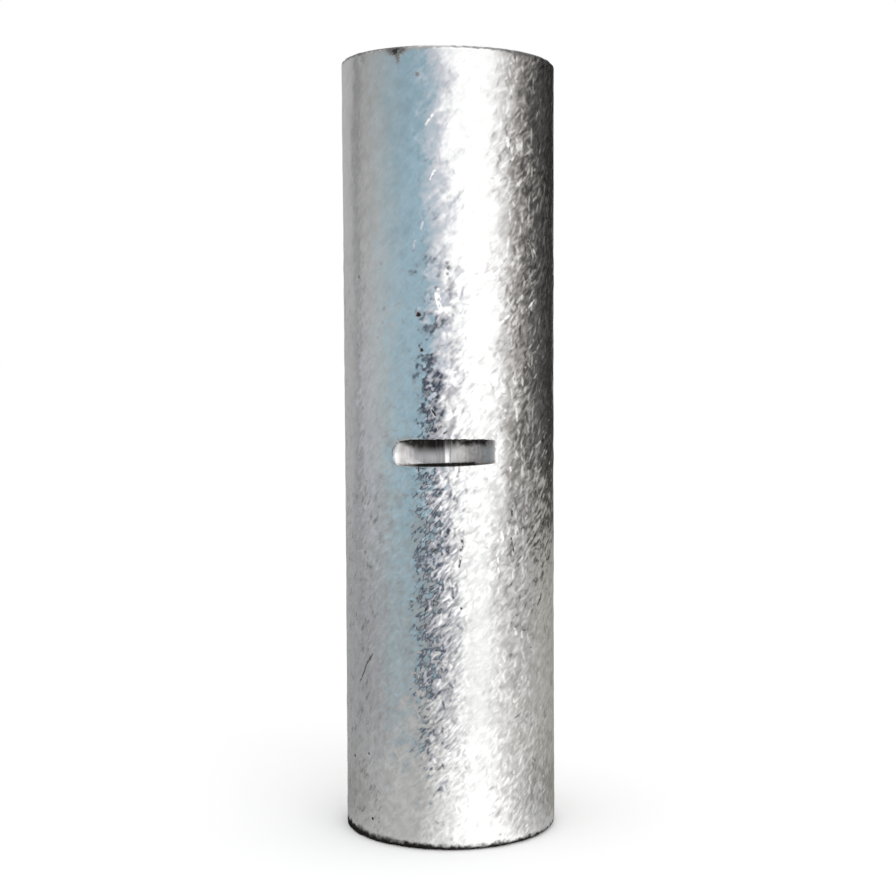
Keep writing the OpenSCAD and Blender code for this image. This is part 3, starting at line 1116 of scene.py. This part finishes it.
# Tones of the cards
GREY = (0.41, 0.41, 0.41)
PALE_GREY = (0.48, 0.48, 0.48)
DIM = (0.37, 0.37, 0.37)
TEAL_GREY = (0.48, 0.53, 0.55)
BLUE = (0.37, 0.51, 0.59)
SKY = (0.36, 0.55, 0.66)
PALE_SKY = (0.64, 0.74, 0.83)
BLUE_GREY = (0.38, 0.445, 0.475)
NAVY = (0.035, 0.045, 0.075)
LILAC_GREY = (0.42, 0.43, 0.48)
LILAC = (0.53, 0.53, 0.58)
PALE_LILAC = (0.88, 0.88, 0.90)
LAVENDER = (0.74, 0.76, 0.84)
WHITE = (1.4, 1.4, 1.4)
PALE = (1.1, 1.1, 1.1)
PEARL = (0.85, 0.84, 0.83)
MILK = (0.76, 0.75, 0.73)
HAZE = (0.70, 0.69, 0.68)
CHALK = (0.66, 0.645, 0.62)
MIST = (0.55, 0.545, 0.54)
STEEL = (0.49, 0.49, 0.49)
ASH = (0.45, 0.45, 0.45)
PEWTER = (0.45, 0.44, 0.43)
BONE = (0.48, 0.465, 0.43)
SHADE = (0.48, 0.45, 0.43)
SAND = (0.41, 0.40, 0.37)
WARM = (0.385, 0.37, 0.335)
SLATE = (0.31, 0.31, 0.31)
COAL = (0.31, 0.305, 0.30)
PEAT = (0.31, 0.30, 0.275)
FLINT = (0.18, 0.176, 0.168)
DUSK = (0.12, 0.115, 0.11)
SOOT = (0.055, 0.053, 0.049)
BLACK = (0.027, 0.024, 0.022)
COOL_STEEL = (0.50, 0.51, 0.54)
COOL_IRON = (0.46, 0.465, 0.495)
COOL_ASH = (0.455, 0.455, 0.485)
COOL_GREY = (0.40, 0.41, 0.425)
COOL_DIM = (0.36, 0.368, 0.385)
COOL_SLATE = (0.31, 0.31, 0.33)

# Tones round the object by azimuth in degrees, counted from the camera to the right
WALL_TONES = ((-180, ASH), (-124, ASH), (-120, SLATE), (-115, SLATE), (-109, ASH), (-94, STEEL),
              (-80, TEAL_GREY), (-52, BLUE), (-30, SKY), (-19, PALE_SKY), (-6, LAVENDER), (7, WHITE),
              (44, WHITE), (73, SHADE), (100, DUSK), (136, BLACK), (158, BLACK), (172, MIST))
UPPER_WALL_TONES = ((-180, GREY), (-20, GREY), (9, WHITE), (44, WHITE), (73, GREY), (100, DUSK),
                    (136, DUSK), (172, GREY))
FAR_TONES = ((-180, GREY), (-110, COOL_DIM), (-60, COOL_GREY), (-20, GREY), (22, PALE), (40, PALE),
             (62, MILK), (84, MIST), (118, BONE), (145, WARM), (165, GREY))
NEAR_TONES = ((-180, GREY), (-110, DIM), (-80, PALE_GREY), (-45, MIST), (-26, MIST), (16, WHITE),
              (34, WHITE), (56, PEARL), (80, CHALK), (104, SAND), (140, WARM), (165, GREY))
INNER_TONES = ((-180, DIM), (-110, COAL), (-80, GREY), (-45, MIST), (-26, MIST), (16, WHITE),
               (34, WHITE), (56, HAZE), (80, PALE_GREY), (104, PEAT), (140, PEAT), (165, DIM))
LOW_CARD_TONES = ((-38, BLUE), (-30, BLUE), (-25, NAVY), (-17, NAVY), (-13, LILAC_GREY), (-6, LILAC),
                  (2, PALE_LILAC), (7, PALE), (14, PALE))
LOW_MAT_TONES = ((-38, BLUE_GREY), (-34, BLUE_GREY), (-31, NAVY), (-22, NAVY), (-17, LILAC_GREY),
                 (-7, LILAC), (6, PALE_LILAC), (14, PALE))
LEFT_LOW_TONES = ((-128, COOL_ASH), (-124, COOL_ASH), (-120, COOL_SLATE), (-115, COOL_SLATE),
                  (-109, COOL_IRON), (-94, COOL_STEEL), (-80, TEAL_GREY), (-70, TEAL_GREY))
RIGHT_LOW_TONES = ((38, PALE), (46, HAZE), (62, PEWTER), (78, FLINT), (104, SOOT), (158, SOOT))


def even(tone):
    """One tone all round."""
    return (-180, tone), (180, tone)


# Cards besides the wall: radii and heights of both edges, tones, and the azimuths that each spans
ALL_ROUND = (-180, 180)
LOW_SPAN = (-38, 14)
RIGHT_SPAN = (38, 158)
CARDS = {
    "upper_wall": ((WALL_R, WALL_R), (WALL_SPLIT, WALL_TOP), UPPER_WALL_TONES, ALL_ROUND),
    "inner_table": ((TABLE_R, INNER_R), (TABLE_H, TABLE_H), INNER_TONES, ALL_ROUND),
    "near_table": ((INNER_R, NEAR_R), (TABLE_H, TABLE_H), NEAR_TONES, ALL_ROUND),
    "far_table": ((NEAR_R, WALL_R), (TABLE_H, TABLE_H), FAR_TONES, ALL_ROUND),
    "blue_mat": ((BLUE_MAT_R, WALL_R), (BLUE_MAT_H, BLUE_MAT_H), even(BLUE_GREY), (-70, -22)),
    "low_card": ((LOW_CARD_R, LOW_CARD_R), (0.0, LOW_CARD_TOP), LOW_CARD_TONES, LOW_SPAN),
    "low_mat": ((LOW_MAT_R, LOW_CARD_R), (LOW_MAT_H, LOW_MAT_H), LOW_MAT_TONES, LOW_SPAN),
    "left_low": ((LOW_CARD_R, LOW_CARD_R), (0.0, LOW_CARD_TOP), LEFT_LOW_TONES, (-128, -80)),
    "right_low": ((LOW_CARD_R, LOW_CARD_R), (SKIRT_TOP, RIGHT_LOW_TOP), RIGHT_LOW_TONES, RIGHT_SPAN),
    "right_skirt": ((LOW_CARD_R, LOW_CARD_R), (0.0, SKIRT_TOP), FAR_TONES, RIGHT_SPAN),
    "pale_back": ((BACK_R, BACK_R), (BACK_FOOT, WALL_SPLIT), even(PALE_GREY), (-180, -124)),
    "white_back": ((BACK_R, BACK_R), (WALL_SPLIT, WALL_TOP), even(WHITE), (168, 240)),
    "left_ceiling": ((0.0, WALL_R), (WALL_TOP, WALL_TOP), even(GREY), (-122, -8)),
    "right_ceiling": ((0.0, WALL_R), (WALL_TOP, WALL_TOP), even(DIM), (58, 172)),
}


def card_material(name, tones, fade=1.0):
    """Light of a card, whose colour goes round the object through the given tones.

    Between the heights FADE_FROM and FADE_TO it falls to a share, fade, of itself.
    """
    graph = Graph(name)
    x, y, z = graph.parts(graph.node("TexCoord").outputs["Object"])
    share = graph.math("ARCTAN2", x, y * -1) * (0.5 / math.pi) + 0.5
    ramp = graph.node("ValToRGB")
    graph.put(share, ramp.inputs["Fac"])
    stops = ramp.color_ramp.elements
    while len(stops) < len(tones):
        stops.new(1.0)
    for stop, (azimuth, tone) in zip(stops, tones):
        stop.position = azimuth / 360 + 0.5
        stop.color = (*tone, 1)
    light = graph.node("Emission")
    graph.put(ramp.outputs["Color"], light.inputs["Color"])
    if fade < 1:
        graph.put(z.ramp(FADE_FROM, FADE_TO, 1.0, fade), light.inputs["Strength"])
    return graph.finish(light.outputs["Emission"])


def stage_sheet(name, points, faces, material):
    mesh = bpy.data.meshes.new(name)
    mesh.from_pydata(points, [], faces)
    mesh.materials.append(material)
    sheet = bpy.data.objects.new(name, mesh)
    bpy.context.collection.objects.link(sheet)
    return sheet


def ring_card(name, radii, heights, material, span):
    """A ring or wall between two edges that shows in reflections and does nothing else."""
    start, end = span
    points = []
    for i in range(CARD_STEPS + 1):
        angle = math.radians(start + (end - start) * i / CARD_STEPS)
        for radius, height in zip(radii, heights):
            points.append((radius * math.sin(angle), -radius * math.cos(angle), height))
    faces = [(2 * i, 2 * i + 1, 2 * i + 3, 2 * i + 2) for i in range(CARD_STEPS)]
    sheet = stage_sheet(name, points, faces, material)
    sheet.rotation_euler.z = CAMERA_AZIMUTH
    sheet.visible_camera = False
    sheet.visible_diffuse = False
    sheet.visible_shadow = False
    sheet.visible_transmission = False


def add_cards():
    wall = card_material("wall_card", WALL_TONES, WALL_FADE)
    ring_card("wall_card", (WALL_R, WALL_R), (0.0, WALL_SPLIT), wall, ALL_ROUND)
    for name, (radii, heights, tones, span) in CARDS.items():
        ring_card(name, radii, heights, card_material(name, tones), span)


def add_camera():
    data = bpy.data.cameras.new("camera")
    data.sensor_width = SENSOR_MM
    data.lens = FOCAL_PIXELS / FRAME_PIXELS * SENSOR_MM
    data.clip_start = CLIP_START
    camera = bpy.data.objects.new("camera", data)
    radius = OUTER_R * MM
    distance = CAMERA_DISTANCE * radius
    place = Vector((
        distance * math.sin(CAMERA_AZIMUTH),
        -distance * math.cos(CAMERA_AZIMUTH),
        CAMERA_HEIGHT * radius,
    ))
    turn = Matrix.Rotation(CAMERA_AZIMUTH + CAMERA_YAW, 4, "Z")
    tilt = Matrix.Rotation(math.pi / 2 + CAMERA_PITCH, 4, "X")
    roll = Matrix.Rotation(CAMERA_ROLL, 4, "Z")
    camera.matrix_world = Matrix.Translation(place) @ turn @ tilt @ roll
    bpy.context.collection.objects.link(camera)
    bpy.context.scene.camera = camera


def add_world():
    """White where the camera or a reflection sees it, and a plain level of light elsewhere."""
    graph = Graph("studio", "worlds")
    path = graph.node("LightPath").outputs
    seen = path["Is Camera Ray"]
    for other in ("Is Glossy Ray", "Is Transmission Ray"):
        seen = graph.math("MAXIMUM", seen, path[other])
    mix = graph.node("MixShader")
    graph.put(seen, mix.inputs[0])
    for level, socket in zip((WORLD_LEVEL, 1.0), mix.inputs[1:]):
        light = graph.node("Background")
        light.inputs["Color"].default_value = (1, 1, 1, 1)
        light.inputs["Strength"].default_value = level
        graph.put(light.outputs["Background"], socket)
    bpy.context.scene.world = graph.finish(mix.outputs["Shader"], "OutputWorld")


def add_floor():
    graph = Graph("floor")
    shader = graph.node("BsdfDiffuse")
    shader.inputs["Color"].default_value = FLOOR_TONE
    side = FLOOR_SIDE
    points = [(-side, -side, 0), (side, -side, 0), (side, side, 0), (-side, side, 0)]
    stage_sheet("floor", points, [(0, 1, 2, 3)], graph.finish(shader.outputs["BSDF"]))


def add_key():
    key = bpy.data.lights.new("key", "AREA")
    key.shape = "RECTANGLE"
    key.size, key.size_y = KEY_SIZE
    key.energy = KEY_ENERGY
    lamp = bpy.data.objects.new("key", key)
    angle = CAMERA_AZIMUTH + KEY_TURN
    place = Vector((KEY_DISTANCE * math.sin(angle), -KEY_DISTANCE * math.cos(angle), KEY_HEIGHT))
    lamp.location = place
    aim = Vector((0, 0, KEY_AIM_HEIGHT)) - place
    lamp.rotation_euler = aim.to_track_quat("-Z", "Y").to_euler()
    lamp.visible_camera = False
    bpy.context.collection.objects.link(lamp)


bpy.context.scene.view_settings.view_transform = "Standard"
add_camera()
add_world()
add_floor()
add_key()
add_cards()
sleeve = build_sleeve([tumbled_tin(), cut_tin(), drawn_tin(), punched_tin()])
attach(sleeve, "root")
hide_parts(NODE)
